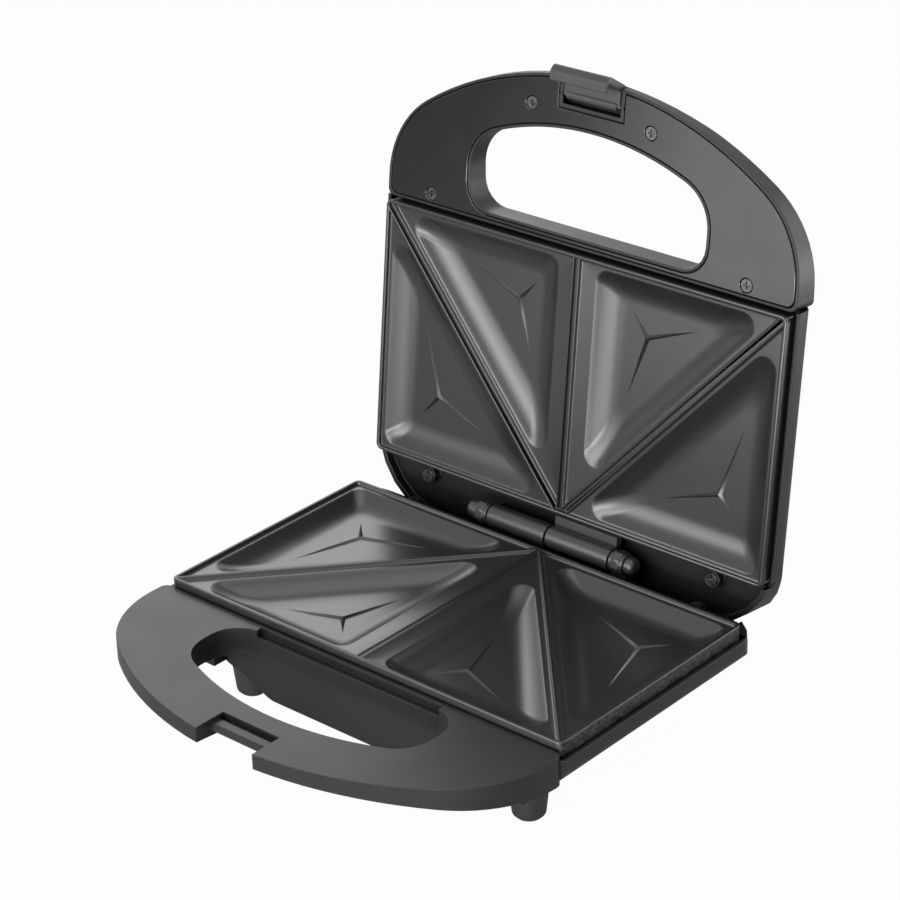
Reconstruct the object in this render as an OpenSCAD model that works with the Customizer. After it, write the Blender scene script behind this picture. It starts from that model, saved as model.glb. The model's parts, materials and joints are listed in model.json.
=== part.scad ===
/* [Cooking plates] */
// Width of each plate
plate_w = 218; // [200:1:236]
// Depth of each plate, front to back
plate_d = 120; // [112:1:130]
// Thickness of the plate metal
plate_t = 2.4; // [1.8:0.1:3]
// Height of the plate's turned-down edge
skirt_h = 7; // [5:0.5:9]
// Depth of the food pockets
pocket_h = 6.2; // [5:0.1:9]
// Flat land between the plate's edge and a pocket
plate_land = 4; // [4:0.5:7]
// Land between a side pocket and a front pocket
divider_w = 8.5; // [7.5:0.5:12]
// Land between the two front pockets
middle_w = 21; // [16:0.5:26]
// How far a pocket's walls lean in
pocket_lean = 9; // [5:0.5:11]
// Corner radius of a pocket
pocket_r = 6; // [4:0.5:8]
// Width of the raised lips on the plates
lip_w = 1.6; // [1:0.1:2.4]
// Height of the lips and depth of the seams between pockets
lip_h = 1.6; // [1:0.1:2]
// Width of the creases where they meet on a pocket's floor
crease_w = 2.4; // [1.6:0.1:3.2]
// Height of those creases
crease_h = 0.9; // [0.5:0.1:1.4]
// Gap between the two plates when the lid is shut
plate_gap = 1; // [0.6:0.1:2]

/* [Base casing] */
// Gap between a plate's edge and the casing
edge_gap = 1.2; // [0.8:0.1:2]
// Thickness of the casing's sides
side_t = 1.8; // [1.4:0.1:2.6]
// Thickness of the casing's floor, front and back
wall_t = 2.5; // [2:0.1:3.5]
// Depth of the casing's rim below the plate's rim
rim_drop = 6; // [5:0.5:8]
// Height of the upright side below that rim
side_h = 8; // [5:0.5:12]
// Depth of the belly below the plate's rim
belly_h = 37; // [34:0.5:44]
// How far the belly draws in at each side
belly_in = 30; // [22:1:36]
// Reach of the casing behind the plates
rear_reach = 27.5; // [26.5:0.5:30]
// Radius of the casing's rear corners
rear_r = 40; // [30:1:46]
// Reach of the hinge deck behind the plate
deck_reach = 9; // [8.5:0.25:9.5]
// Radius of the deck's corners
deck_r = 14; // [10:1:18]
// Depth of the rear shelf below the plate's rim
shelf_drop = 13; // [12:0.5:15]
// Depth of the well that the lid's back edge turns into
well_drop = 19.2; // [19:0.1:21]
// Width of that well
well_w = 188; // [184:1:196]

/* [Base grip] */
// Reach of the base grip in front of the plate
grip_reach = 77.8; // [74:0.2:84]
// Radius of the base grip's front
grip_r = 160; // [150:1:180]
// Radius of the base grip's corners
grip_corner_r = 50; // [42:1:54]
// How far each grip's sides stand in from the casing's sides
grip_in = 1; // [0.5:0.5:4]
// Depth of the grip's face below the plate's rim
grip_drop = 3.2; // [2.5:0.1:4]
// Thickness of the base grip at its front
grip_tip_t = 6.7; // [6.7:0.1:8]
// Thickness of the base grip where it joins the casing
grip_root_t = 13.4; // [11:0.1:15]
// Half the width of the hole in each grip
hole_half = 64; // [58:0.5:68]
// Front edge of the base grip's hole, from the plate
hole_front = 52; // [44:0.5:54]
// Back edge of both holes, from the plate
hole_back = 6; // [5.5:0.25:8]

/* [Lid casing] */
// Height of the lid's rim above the base plate's rim
lid_rim = 5.3; // [4.8:0.1:6]
// Height of the lid's upright side
lid_side_h = 8.2; // [6:0.2:11]
// Height of the lid's top above the base plate's rim
lid_h = 38; // [36:0.5:44]
// How far the lid's top draws in at each side
lid_in = 30; // [22:1:36]
// Height of the floor behind the lid's plate
recess_z = 9.5; // [9.2:0.1:10]
// Angle that the lid is opened to
open_angle = 96.7; // [80:0.1:96.7]

/* [Lid grip] */
// Reach of the lid grip in front of the plate
lid_grip_reach = 75.8; // [72:0.2:80]
// Radius of the lid grip's front
lid_grip_r = 165; // [155:1:185]
// Radius of the lid grip's corners
lid_corner_r = 45; // [40:1:50]
// Height of the grip's face above the base plate's rim
lid_face = 4.2; // [3.8:0.1:5]
// Height of the grip's back where it joins the lid
lid_grip_root = 17; // [15:0.5:19]
// Height of the grip's back at its front
lid_grip_tip = 11.6; // [11:0.1:13]
// Front edge of the lid grip's hole, from the plate
lid_hole_front = 52.5; // [48:0.5:54]
// Thickness of the grip's face cover
cover_t = 2.2; // [1.8:0.1:2.8]
// Width of the shell's edge round that cover
cover_edge = 1.4; // [1:0.1:2]
// Gap between the cover and that edge
cover_gap = 0.3; // [0.2:0.05:0.5]

/* [Latch] */
// Width of the latch
latch_w = 29.6; // [26:0.2:34]
// Thickness of the latch
latch_t = 3.2; // [2.6:0.1:3.4]
// Drop of the hook below the rod
latch_drop = 11.9; // [11.6:0.1:12.2]
// Reach of the latch in front of the rod
latch_reach = 14.4; // [14:0.1:15.4]
// Radius of the latch's rod
rod_r = 1.3; // [1:0.1:1.5]
// Play at each side of the latch
latch_play = 0.5; // [0.3:0.1:0.8]

/* [Hinge] */
// Distance of the hinge line behind the plate
hinge_back = 10.85; // [10.6:0.05:11.2]
// Height of the hinge line above the base plate's rim
hinge_z = 0.3; // [0.1:0.05:0.5]
// Radius of the hinge barrels
barrel_r = 4.8; // [4:0.1:5]
// Radius of the hinge pin
pin_r = 2.2; // [1.6:0.1:2.4]
// Running clearance round the pin
pin_fit = 0.05; // [0.02:0.01:0.1]
// Length of the barrel on the base
base_barrel = 32.8; // [26:0.2:36]
// Length of the barrel on the lid
lid_barrel = 34.7; // [28:0.1:38]
// Length of the clip at each end
clip_l = 7.4; // [5:0.2:9]
// Gap between two neighbours on the pin
barrel_gap = 0.8; // [0.5:0.1:1.2]

/* [Feet] */
// Height of the feet under the belly
foot_h = 15.5; // [12:0.5:18]
// Radius of a foot at its top
foot_top_r = 8.7; // [7.5:0.1:9.5]
// Radius of a foot at its bottom
foot_r = 7; // [6:0.1:8.4]
// Distance of the front feet from the casing's sides
foot_in = 33.3; // [32:0.1:42]
// Distance of the rear feet from the casing's sides
foot_rear_side_in = 57; // [50:0.5:62]
// Distance of the front feet behind the plate's front edge
foot_front_in = 16; // [16:0.5:24]
// Distance of the rear feet from the casing's back
foot_rear_in = 27.5; // [25:0.5:35]
// Height that the pads stand out
pad_h = 0.5; // [0.3:0.1:1]

/* [Heaters] */
// Radius of the heating tubes
tube_r = 3; // [2.5:0.1:3.5]
// Width of the heater's loop
loop_w = 150; // [130:1:160]
// Depth of the heater's loop
loop_d = 70; // [60:1:80]
// Radius of the heater's bends
loop_r = 15; // [10:1:20]
// Distance of the reflector tray's edge from the plate's edge
tray_in = 14; // [13:0.5:20]
// Thickness of the reflector sheet
sheet_t = 0.8; // [0.5:0.1:1.2]

/* [Screws] */
// Radius of a screw's shank
screw_r = 1.4; // [1.2:0.1:1.6]
// Radius of a screw's head
head_r = 2.75; // [2.4:0.05:3]
// Height of a screw's head
head_h = 1.3; // [1:0.1:1.6]

/* [Hidden] */
$fn = 48;

// Plate coordinates: x and y from the middle of the plates, z from the base plate's rim
half_w = plate_w / 2;
half_d = plate_d / 2;
case_half = half_w + edge_gap + side_t;
inner_half = case_half - side_t;
front_y = -half_d - edge_gap;
grip_half = case_half - grip_in;
foot_x = case_half - foot_in;
foot_front = half_d - foot_front_in;
casing_front = -half_d - hole_back;
back_y = half_d + rear_reach;
base_tip = -half_d - grip_reach;
lid_tip = -half_d - lid_grip_reach;
deck_y = half_d + deck_reach;
hinge_y = half_d + hinge_back;
foot_rear = back_y - foot_rear_in;
foot_rear_x = case_half - foot_rear_side_in;
foot_places = [[foot_x, -foot_front], [foot_rear_x, foot_rear]];
ground = belly_h + foot_h + pad_h;
big = 400;
e = 0.01;

// Heater and reflector heights, measured down from a plate's rim
under_z = lip_h + plate_t;
pan_z = under_z + pocket_h;
tube_z = pan_z + tube_r;
sheet_z = tube_z + tube_r;
stud_r = 4;
stud_bore = 8;
tail_x = 12;
tail_l = 10;
stat_x = 30;
stat_r = 9;
stat_h = 6;
tab_l = 7;
tab_w = 4;
tab_t = 0.8;
fuse_r = 2;
fuse_half = 9;
block_w = 36;
block_d = 12;
block_h = 10;
block_y = 42;
block_bore = 2;
inlet_r = 4.2;
inlet_bore = 3;
inlet_lip = 1.6;
inlet_z = -25.4;
fit = 0.05;
stud_in = 12;
stud_y = -half_d + stud_in;
studs = [[-half_w / 2, 0], [half_w / 2, 0], [0, stud_y]];

// Screws: two on the deck, two behind the lid's plate, four in the grip cover
deck_screw_in = 32;
deck_screw_back = 2;
deck_screw_x = case_half - deck_screw_in;
deck_screw_y = deck_y - deck_screw_back;
lid_screw_in = 31.5;
lid_screw_back = 6;
lid_screw_x = case_half - lid_screw_in;
lid_screw_y = half_d + lid_screw_back;
cover_front_x = 31.8;
cover_front_in = 16.3;
cover_front_y = lid_tip + cover_front_in;
cover_back_in = 25.4;
cover_back_x = grip_half - cover_back_in;
cover_back_gap = 7;
cover_back_y = -half_d - cover_back_gap;
boss_t = 1.4;
seat_h = 0.5;

head_sink = 0.7;
head_fit = 0.3;
screw_seat = belly_h - head_h - head_sink;
base_screw_l = screw_seat - sheet_z - sheet_t + stud_bore - 1;
cover_screw_l = 5;
cover_bore_h = head_h + head_fit;

// Latch: the rod sits in the pocket at the front of the lid grip
rod_in = 8.8;
rod_up = 1.5;
rod_y = lid_tip + rod_in;
rod_z = lid_face + rod_up;
knuckle_r = 2.2;
knuckle_in = 1.5;
lip_in = 7.6;
strap_top = 1.7;
pocket_over = 2.5;
pocket_in = 13;
pocket_top = rod_z + pocket_over;
pocket_back = lid_tip + pocket_in;
frame_t = 2;
notch_in = 16.4;
notch_y = base_tip + notch_in;
groove_w = 2.6;
catch_in = 9.8;
catch_drop = 1.7;
catch_y = base_tip + catch_in;
catch_z = -grip_drop - catch_drop;
pocket_half = latch_w / 2 + latch_play;
notch_play = 0.4;
notch_half = pocket_half + notch_play;

// Hinge: barrels side by side from the seam near the middle
seam_x = -3.2;
base_barrel_x = seam_x - barrel_gap / 2 - base_barrel;
lid_barrel_x = seam_x + barrel_gap / 2;
lid_clip_x = base_barrel_x - barrel_gap - clip_l;
base_clip_x = lid_barrel_x + lid_barrel + barrel_gap;
pin_left = lid_clip_x - 0.2;
pin_right = base_clip_x + clip_l + 0.2;
cap_l = 4.5;
cap_r = 4;
cap_bore = 2.5;
web_half = 3;

// Front wall and grip roots
block_in = 38;
block_out = 14;
block_reach = 4.5;
block_z = -27;
corner_x = 40;
corner_z = -22;
front_chamfer = 8;
root_r = 3.5;
rear_lean = 5;
base_hole_r = 18;
base_hole_back_r = 14;
ledge_in = 13;
ledge_d = 3;
ledge_drop = 3.4;
lid_hole_r = 20;
lid_hole_back_r = 12;
tip_r = 8;
tip_in = 11;
lid_front_in = 16;
shoulder_r = 10;
roof_r = 14;
skirt_z = -10;

// Indicator lamps on the lid's top
lamp_x = 14;
lamp_y = -34;
lamp_r = 4;
lamp_fit = 0.08;

// Shift that brings the opened toaster's middle over the origin: halfway between the corner of
// the latch notch in front and the edge of a lamp's lens behind
lens_edge = [lamp_y - lamp_r + 1 - hinge_y, lid_h - hinge_z];
open_back = hinge_y + cos(open_angle) * lens_edge.x + sin(open_angle) * lens_edge.y + 1;
open_front = base_tip + grip_r - sqrt(pow(grip_r, 2) - pow(notch_half, 2));
centre_y = -(open_front + open_back) / 2;

function unit(v) = v / norm(v);
function arc(c, r, a0, a1, n) =
    [for (k = [0:n]) c + r * [cos(a0 + (a1 - a0) * k / n), sin(a0 + (a1 - a0) * k / n)]];
// One corner of an outline, rounded by an arc
function corner(a, p, b, r) = r <= 0 ? [p] : let (
    u = unit(a - p), v = unit(b - p), half = acos(u * v) / 2,
    c = p + unit(u + v) * r / sin(half), s = p + u * r / tan(half) - c,
    f = p + v * r / tan(half) - c, a0 = atan2(s.y, s.x),
    turn = (atan2(f.y, f.x) - a0 + 540) % 360 - 180)
    arc(c, r, a0, a0 + turn, 6);
function rounded(p, r) = let (n = len(p))
    [for (i = [0:n - 1]) each corner(p[(i + n - 1) % n], p[i], p[(i + 1) % n], r[i])];

// Outline of a grip or of its hole: a wide front arc, two corner arcs and two back corners
function grip_outline(front, r, corner_r, half, back, back_r) = let (
    mid = -front + r, cx = half - corner_r,
    cy = mid - sqrt(pow(r - corner_r, 2) - cx * cx), a = atan2(cy - mid, cx))
    concat(arc([-cx, cy], corner_r, 180, 180 - a, 10),
        arc([0, mid], r, 180 - a, 360 + a, 24),
        arc([cx, cy], corner_r, 360 + a, 360, 10),
        arc([half - back_r, back - back_r], back_r, 0, 90, 6),
        arc([-half + back_r, back - back_r], back_r, 90, 180, 6));

// Back edge of a grip's outline, kept behind the ends of its corner arcs
function grip_back(back, front, r, corner_r, half) = max(back, root_r - front + r
    - sqrt(pow(r - corner_r, 2) - pow(half - corner_r, 2)));

module along_x(w) {
    rotate([90, 0, 90]) linear_extrude(w, center = true) children();
}
module along_y(d) {
    rotate([90, 0, 0]) linear_extrude(d, center = true) children();
}
module between(z0, z1) {
    translate([0, 0, z0]) linear_extrude(z1 - z0) children();
}
module rod(x0, x1, y, z, r) {
    translate([x0, y, z]) rotate([0, 90, 0]) cylinder(h = x1 - x0, r = r);
}
module both_sides() {
    children();
    mirror([1, 0, 0]) children();
}
module box(x0, x1, y0, y1, z0, z1) {
    translate([x0, y0, z0]) cube([x1 - x0, y1 - y0, z1 - z0]);
}

// Frames: the base stands on its feet, the lid is turned back about the hinge
module placed() {
    translate([0, centre_y, ground]) children();
}
module lid_placed() {
    placed() translate([0, hinge_y, hinge_z]) rotate([-open_angle, 0, 0])
        translate([0, -hinge_y, -hinge_z]) children();
}
// Turns a piece of the base heater group over into the shut lid
module turned_over() {
    translate([0, 0, plate_gap]) mirror([0, 0, 1]) children();
}

// Screw with its head's underside at the origin and its cross recess on top
module screw(l) {
    difference() {
        union() {
            cylinder(h = head_h, r = head_r);
            translate([0, 0, -l]) cylinder(h = l + e, r = screw_r);
        }
        translate([0, 0, head_h]) {
            cube([head_r * 1.2, 0.7, 1.4], center = true);
            cube([0.7, head_r * 1.2, 1.4], center = true);
        }
    }
}

/* Cooking plates */

// The four triangles between the plate's edges and the seams: a at the sides, b at the front
tri_a = [[-half_w, -half_d], [0, half_d], [-half_w, half_d]];
tri_b = [[-half_w, -half_d], [0, -half_d], [0, half_d]];
// Edges of a triangle moved inwards, each by its own distance
function line_meet(p, u, q, v) = p + u * ((q - p) * [-v.y, v.x]) / (u * [-v.y, v.x]);
function inset(t, d) = [for (i = [0:2]) let (
    j = (i + 2) % 3, u = unit(t[(i + 1) % 3] - t[i]), v = unit(t[i] - t[j]))
    line_meet(t[i] + [-u.y, u.x] * d[i], u, t[j] + [-v.y, v.x] * d[j], v)];
function outline_a(g) =
    rounded(inset(tri_a, [divider_w / 2 + g, plate_land + g, plate_land + g]), pocket_rs(g));
function outline_b(g) =
    rounded(inset(tri_b, [plate_land + g, middle_w / 2 + g, divider_w / 2 + g]), pocket_rs(g));
floor_a = inset(tri_a, [divider_w / 2, plate_land, plate_land] + pocket_lean * [1, 1, 1]);
floor_b = inset(tri_b, [plate_land, middle_w / 2, divider_w / 2] + pocket_lean * [1, 1, 1]);
function pocket_rs(g) = let (r = max(2, pocket_r - g / 3)) [r, r, r];

// One pocket, from its mouth down to its floor
module pocket(mouth, floor_outline) {
    hull() {
        between(-lip_h, 1) polygon(mouth);
        between(-lip_h - pocket_h, -lip_h - pocket_h + e) polygon(floor_outline);
    }
}
module pockets() {
    both_sides() {
        pocket(outline_a(0), outline_a(pocket_lean));
        pocket(outline_b(0), outline_b(pocket_lean));
    }
}
// Pans round the pockets, in two steps
module pans() {
    step = pocket_lean * 0.45;
    both_sides() {
        between(-pan_z * 0.55, -under_z) polygon(outline_a(-plate_t));
        between(-pan_z * 0.55, -under_z) polygon(outline_b(-plate_t));
        between(-pan_z, -under_z) polygon(outline_a(step - plate_t));
        between(-pan_z, -under_z) polygon(outline_b(step - plate_t));
    }
}
// Three creases that meet on each pocket's floor, nearest its square corner
module creases(t, square) {
    mid = (t[0] + t[1] + t[2] + t[square]) / 4;
    for (p = t) {
        d = unit(p - mid);
        tip = mid + (p - mid) * 0.54;
        n = [-d.y, d.x] * crease_w / 2;
        between(-lip_h - pocket_h - e, -lip_h - pocket_h + crease_h) polygon([mid + n, tip, mid - n]);
    }
}
// Seams between pockets, all meeting at the middle of the back edge
module seam(p, q, w) {
    d = unit(q - p) * w / 2;
    n = [-d.y, d.x];
    polygon([p - n, p + n, q + n, q - n]);
}
module seams(w) {
    for (x = [-half_w, 0, half_w])
        seam([x, -half_d], [0, half_d], w);
}
// Rim lip and the lips along the seams, with a channel in them on the lid's plate
module lips(channel) {
    difference() {
        intersection() {
            between(-lip_h - e, 0) union() {
                difference() {
                    square([plate_w, plate_d], center = true);
                    square([plate_w - 2 * lip_w, plate_d - 2 * lip_w], center = true);
                }
                seams(2 * lip_w + channel);
            }
            between(-lip_h - 1, 1) polygon(plate_outline(0));
        }
        if (channel > 0)
            between(-lip_h, 1) seams(channel);
    }
}
function plate_outline(g) = let (r = 3 - g / 2) rounded([[-half_w + g, -half_d + g],
    [half_w - g, -half_d + g], [half_w - g, half_d - g], [-half_w + g, half_d - g]], [r, r, r, r]);
module plate_body(channel) {
    difference() {
        union() {
            between(-under_z, -lip_h) polygon(plate_outline(0));
            difference() {
                between(-skirt_h, -under_z + e) polygon(plate_outline(0));
                between(-skirt_h - 1, 0) polygon(plate_outline(plate_t));
            }
            pans();
            for (s = studs)
                translate([s.x, s.y, -sheet_z - sheet_t]) cylinder(h = sheet_z - lip_h, r = stud_r);
        }
        pockets();
        for (s = studs)
            translate([s.x, s.y, -sheet_z - sheet_t - 1]) cylinder(h = stud_bore + 1, r = screw_r);
    }
    lips(channel);
    both_sides() {
        creases(floor_a, 2);
        creases(floor_b, 1);
    }
}
module base_plate() {
    color("#4a4a4c") placed() plate_body(0);
}
module lid_plate() {
    color("#4a4a4c") lid_placed() turned_over() plate_body(2);
}

/* Heaters: tube, reflector tray, thermostat, fuse and terminals */

function tray_outline(g) = let (x = half_w - tray_in - g, y = half_d - tray_in - g, r = 8 - g)
    rounded([[-x, -y], [x, -y], [x, y], [-x, y]], [r, r, r, r]);
module reflector() {
    difference() {
        between(-sheet_z - sheet_t, -pan_z) polygon(tray_outline(0));
        between(-sheet_z, 0) polygon(tray_outline(sheet_t));
        for (s = studs)
            translate([s.x, s.y, -sheet_z - sheet_t - 1]) cylinder(h = sheet_z, r = stud_r + 0.3);
        for (x = [-tail_x, tail_x])
            translate([x, loop_d / 2, -sheet_z - 2]) cylinder(h = 4, r = tube_r + 0.3);
    }
}
// A loop of round tube, open at the back, where both tails turn down through the tray
module element() {
    x = loop_w / 2 - loop_r;
    y = loop_d / 2 - loop_r;
    translate([0, 0, -tube_z]) {
        rod(-x, x, -loop_d / 2, 0, tube_r);
        both_sides() {
            rod(tail_x, x, loop_d / 2, 0, tube_r);
            translate([loop_w / 2, -y, 0]) rotate([-90, 0, 0]) cylinder(h = 2 * y, r = tube_r);
            translate([x, y, 0]) rotate_extrude(angle = 90) translate([loop_r, 0]) circle(tube_r);
            translate([x, -y, 0]) rotate([0, 0, -90]) rotate_extrude(angle = 90)
                translate([loop_r, 0]) circle(tube_r);
            translate([tail_x, loop_d / 2, 0]) sphere(tube_r);
            translate([tail_x, loop_d / 2, -tail_l]) cylinder(h = tail_l, r = tube_r);
        }
    }
}
module base_reflector() {
    color("#b9bbbd") placed() reflector();
}
module base_element() {
    color("#6b6e72") placed() element();
}
module lid_reflector() {
    color("#b9bbbd") lid_placed() turned_over() reflector();
}
module lid_element() {
    color("#6b6e72") lid_placed() turned_over() element();
}
module thermostat() {
    color("#c8c2b4") placed() translate([stat_x, 0, -sheet_z - sheet_t - stat_h]) {
        cylinder(h = stat_h, r = stat_r);
        for (x = [-stat_r - tab_l + 2, stat_r - 2])
            translate([x, -tab_w / 2, 1]) cube([tab_l, tab_w, tab_t]);
    }
}
module thermal_fuse() {
    color("#d8d2c6") placed()
        rod(-stat_x - fuse_half, -stat_x + fuse_half, 0, -sheet_z - sheet_t - fuse_r, fuse_r);
}
module terminal_block() {
    color("#e6e2d8") placed() difference() {
        box(-block_w / 2, block_w / 2, block_y, block_y + block_d, -belly_h + wall_t,
            -belly_h + wall_t + block_h);
        for (x = [-block_w / 3, 0, block_w / 3])
            translate([x, block_y + block_d / 2, -belly_h + wall_t + block_bore])
                cylinder(h = block_h, r = block_bore);
    }
}
module cord_bushing() {
    color("#1c1d1f") placed() translate([0, back_y, inlet_z]) rotate([90, 0, 0]) difference() {
        union() {
            translate([0, 0, -inlet_lip]) cylinder(h = inlet_lip, r = inlet_r + 1.6);
            cylinder(h = wall_t, r = inlet_r);
        }
        translate([0, 0, -inlet_lip - 1]) cylinder(h = wall_t + inlet_lip + 2, r = inlet_bore);
    }
}

/* Base casing */

// Side and length profiles of the casing, drawn in by g
function belly_side(g) = let (h = case_half - g, b = case_half - belly_in - 0.6 * g,
    z = -rim_drop - side_h + 0.6 * g, f = -belly_h + g) rounded(
    [[-h, -skirt_z], [-h, z], [-b, f], [b, f], [h, z], [h, -skirt_z]],
    [0, shoulder_r, roof_r, roof_r, shoulder_r, 0]);
function belly_length(g) = rounded([[casing_front + g, -skirt_z],
    [casing_front + g, -belly_h + g], [back_y - rear_lean - 0.6 * g, -belly_h + g],
    [back_y - g, -belly_h + rear_lean + 0.6 * g], [back_y - g, -skirt_z]],
    [0, 3, 4, 4, 0]);
function casing_plan(g, back, r) = rounded([[-case_half + g, front_y + g],
    [-case_half + front_chamfer, casing_front + g], [case_half - front_chamfer, casing_front + g],
    [case_half - g, front_y + g], [case_half - g, back - g], [-case_half + g, back - g]],
    [0, 0, 0, 0, r - g, r - g]);
module belly(g, back, r) {
    intersection() {
        between(-belly_h - 1, -skirt_z) polygon(casing_plan(g, back, r));
        along_y(big) polygon(belly_side(g));
        along_x(big) polygon(belly_length(g));
    }
}
module below(z) {
    intersection() {
        children();
        box(-big, big, -big, big, -big, z);
    }
}
module above(z) {
    intersection() {
        children();
        box(-big, big, -big, big, z, big);
    }
}
// The well and the open top, cut from the casing
module well() {
    box(-well_w / 2, well_w / 2, deck_y, big, -well_drop, big);
}
// Corners cut from the bottom of the front wall, lifted by g
module front_corner_cuts(g) {
    both_sides() translate([0, casing_front + 5, 0]) along_y(14 + 2 * g)
        polygon([[corner_x - g, -belly_h - 1], [case_half - block_in, corner_z + g],
            [big, corner_z + g], [big, -big], [corner_x - g, -big]]);
}
module base_hollow() {
    difference() {
        union() {
            below(-well_drop - wall_t) belly(wall_t, back_y, rear_r);
            below(-rim_drop - wall_t) intersection() {
                belly(wall_t, back_y, rear_r);
                box(-big, big, -big, deck_y - wall_t, -big, big);
            }
        }
        front_corner_cuts(wall_t);
    }
    box(-inner_half, inner_half, front_y, half_d + edge_gap, -rim_drop - wall_t - 1, -skirt_z);
}
module base_grip() {
    intersection() {
        between(-belly_h, 0) polygon(grip_outline(-base_tip, grip_r, grip_corner_r, grip_half,
            grip_back(front_y, -base_tip, grip_r, grip_corner_r, grip_half), root_r));
        along_x(big) polygon([[base_tip - 1, -grip_drop], [base_tip - 1, -grip_drop - grip_tip_t],
            [casing_front, -grip_drop - grip_root_t], [front_y, -grip_drop - grip_root_t],
            [front_y, -grip_drop]]);
    }
}
// Hole in the base grip, with a shallow ledge along its back
module base_grip_hole() {
    back = -half_d - hole_back;
    ledge = hole_half - ledge_in;
    between(-belly_h - 1, 1) polygon(grip_outline(half_d + hole_front,
        grip_r - grip_reach + hole_front, base_hole_r, hole_half, back, base_hole_back_r));
    box(-ledge, ledge, back - 1, back + ledge_d, -grip_drop - ledge_drop, 1);
}
// Notch that the latch hooks into: a groove, then the catch with room under it
module base_notch() {
    groove = notch_y - groove_w;
    along_x(2 * notch_half) polygon([[base_tip - 2, 1], [notch_y, 1], [notch_y, catch_z - 1.1],
        [groove, catch_z - 1.1], [groove, catch_z], [catch_y, catch_z],
        [catch_y - 2.6, catch_z - 1.4], [catch_y - 2.4, catch_z - 1.8], [catch_y - 1, catch_z - 2],
        [catch_y + 2.5, catch_z - 2], [catch_y + 2.5, -belly_h], [base_tip - 2, -belly_h]]);
}
// Blocks under the grip's roots, beside the front wall
module root_blocks() {
    both_sides() box(case_half - block_in, case_half - block_out, casing_front - block_reach,
        front_y + 1, block_z, -grip_drop - grip_tip_t + 1);
}
module base_posts() {
    for (s = studs)
        translate([s.x, s.y, -belly_h + 1])
            cylinder(h = belly_h - 1 - sheet_z - sheet_t, r = stud_r + 1);
    both_sides() {
        for (p = foot_places)
            translate([p.x, p.y, -belly_h]) cylinder(h = 12, r = foot_top_r);
        translate([deck_screw_x, deck_screw_y, -shelf_drop - 1])
            cylinder(h = shelf_drop + 1 - rim_drop + 1, r = head_r + boss_t);
    }
}
module base_bores() {
    for (s = studs)
        translate([s.x, s.y, -belly_h - 1]) {
            cylinder(h = belly_h, r = screw_r + 0.2);
            cylinder(h = belly_h - screw_seat + 1, r = head_r + head_fit);
        }
    both_sides() translate([deck_screw_x, deck_screw_y, -shelf_drop])
        cylinder(h = shelf_drop, r = screw_r + fit);
    translate([0, back_y + 1, inlet_z]) rotate([90, 0, 0])
        cylinder(h = wall_t + 2, r = inlet_r + fit);
    rod(-big / 2, big / 2, hinge_y, hinge_z, pin_r + pin_fit);
}
module base_shell() {
    color("#333437") placed() difference() {
        union() {
            difference() {
                union() {
                    below(-shelf_drop) belly(0, back_y, rear_r);
                    below(-rim_drop) belly(0, deck_y, deck_r);
                }
                well();
                base_hollow();
                front_corner_cuts(0);
            }
            base_grip();
            root_blocks();
            base_posts();
            rod(base_barrel_x, base_barrel_x + base_barrel, hinge_y, hinge_z, barrel_r);
            box(base_barrel_x, base_barrel_x + base_barrel, deck_y - wall_t, hinge_y + web_half,
                -shelf_drop, hinge_z);
        }
        base_grip_hole();
        base_notch();
        base_bores();
    }
}

/* Feet */

module foot(x, y) {
    color("#26272a") placed() translate([x, y, -belly_h - foot_h]) difference() {
        rotate_extrude() polygon(rounded([[0, 0], [foot_r, 0], [foot_top_r, foot_h], [0, foot_h]],
            [0, 2, 0, 0]));
        translate([0, 0, -1]) cylinder(h = 2, r = foot_r - 1.5 + fit);
    }
}
module foot_front_left() {
    foot(-foot_x, -foot_front);
}
module foot_front_right() {
    foot(foot_x, -foot_front);
}
module foot_rear_left() {
    foot(-foot_rear_x, foot_rear);
}
module foot_rear_right() {
    foot(foot_rear_x, foot_rear);
}
module foot_pads() {
    color("#161617") placed() both_sides() for (p = foot_places)
        translate([p.x, p.y, -ground]) cylinder(h = pad_h + 1, r = foot_r - 1.5);
}

/* Screws and hinge of the base */

module deck_screws() {
    color("#2b2c2e") placed() both_sides()
        translate([deck_screw_x, deck_screw_y, -rim_drop + 1]) screw(shelf_drop - rim_drop);
}
module base_screws() {
    color("#2b2c2e") placed() for (s = studs)
        translate([s.x, s.y, -screw_seat]) mirror([0, 0, 1]) screw(base_screw_l);
}
module hinge_pin() {
    color("#8b8e92") placed() rod(pin_left - cap_bore, pin_right + cap_bore, hinge_y, hinge_z, pin_r);
}
module cap(x, turn) {
    translate([x, hinge_y, hinge_z]) rotate([0, turn, 0]) rotate_extrude() polygon(rounded(
        [[0, cap_bore + fit], [pin_r + fit, cap_bore + fit], [pin_r + fit, 0], [cap_r, 0],
        [cap_r, cap_l], [0, cap_l]], [0, 0, 0, 0.4, 2, 0]));
}
module hinge_caps() {
    color("#2e2f32") placed() {
        cap(pin_left, -90);
        cap(pin_right, 90);
    }
}
module clip(x, y0, y1, z0, z1) {
    difference() {
        union() {
            rod(x, x + clip_l, hinge_y, hinge_z, barrel_r);
            box(x, x + clip_l, y0, y1, z0, z1);
        }
        rod(x - 1, x + clip_l + 1, hinge_y, hinge_z, pin_r + pin_fit);
    }
}
module base_hinge_clip() {
    color("#3a3b3e") placed()
        clip(base_clip_x, deck_y, hinge_y + web_half, -shelf_drop, hinge_z);
}
module lid_hinge_clip() {
    color("#3a3b3e") lid_placed()
        clip(lid_clip_x, hinge_y - web_half, hinge_y + web_half, hinge_z, recess_z);
}

/* Lid, drawn shut */

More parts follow.
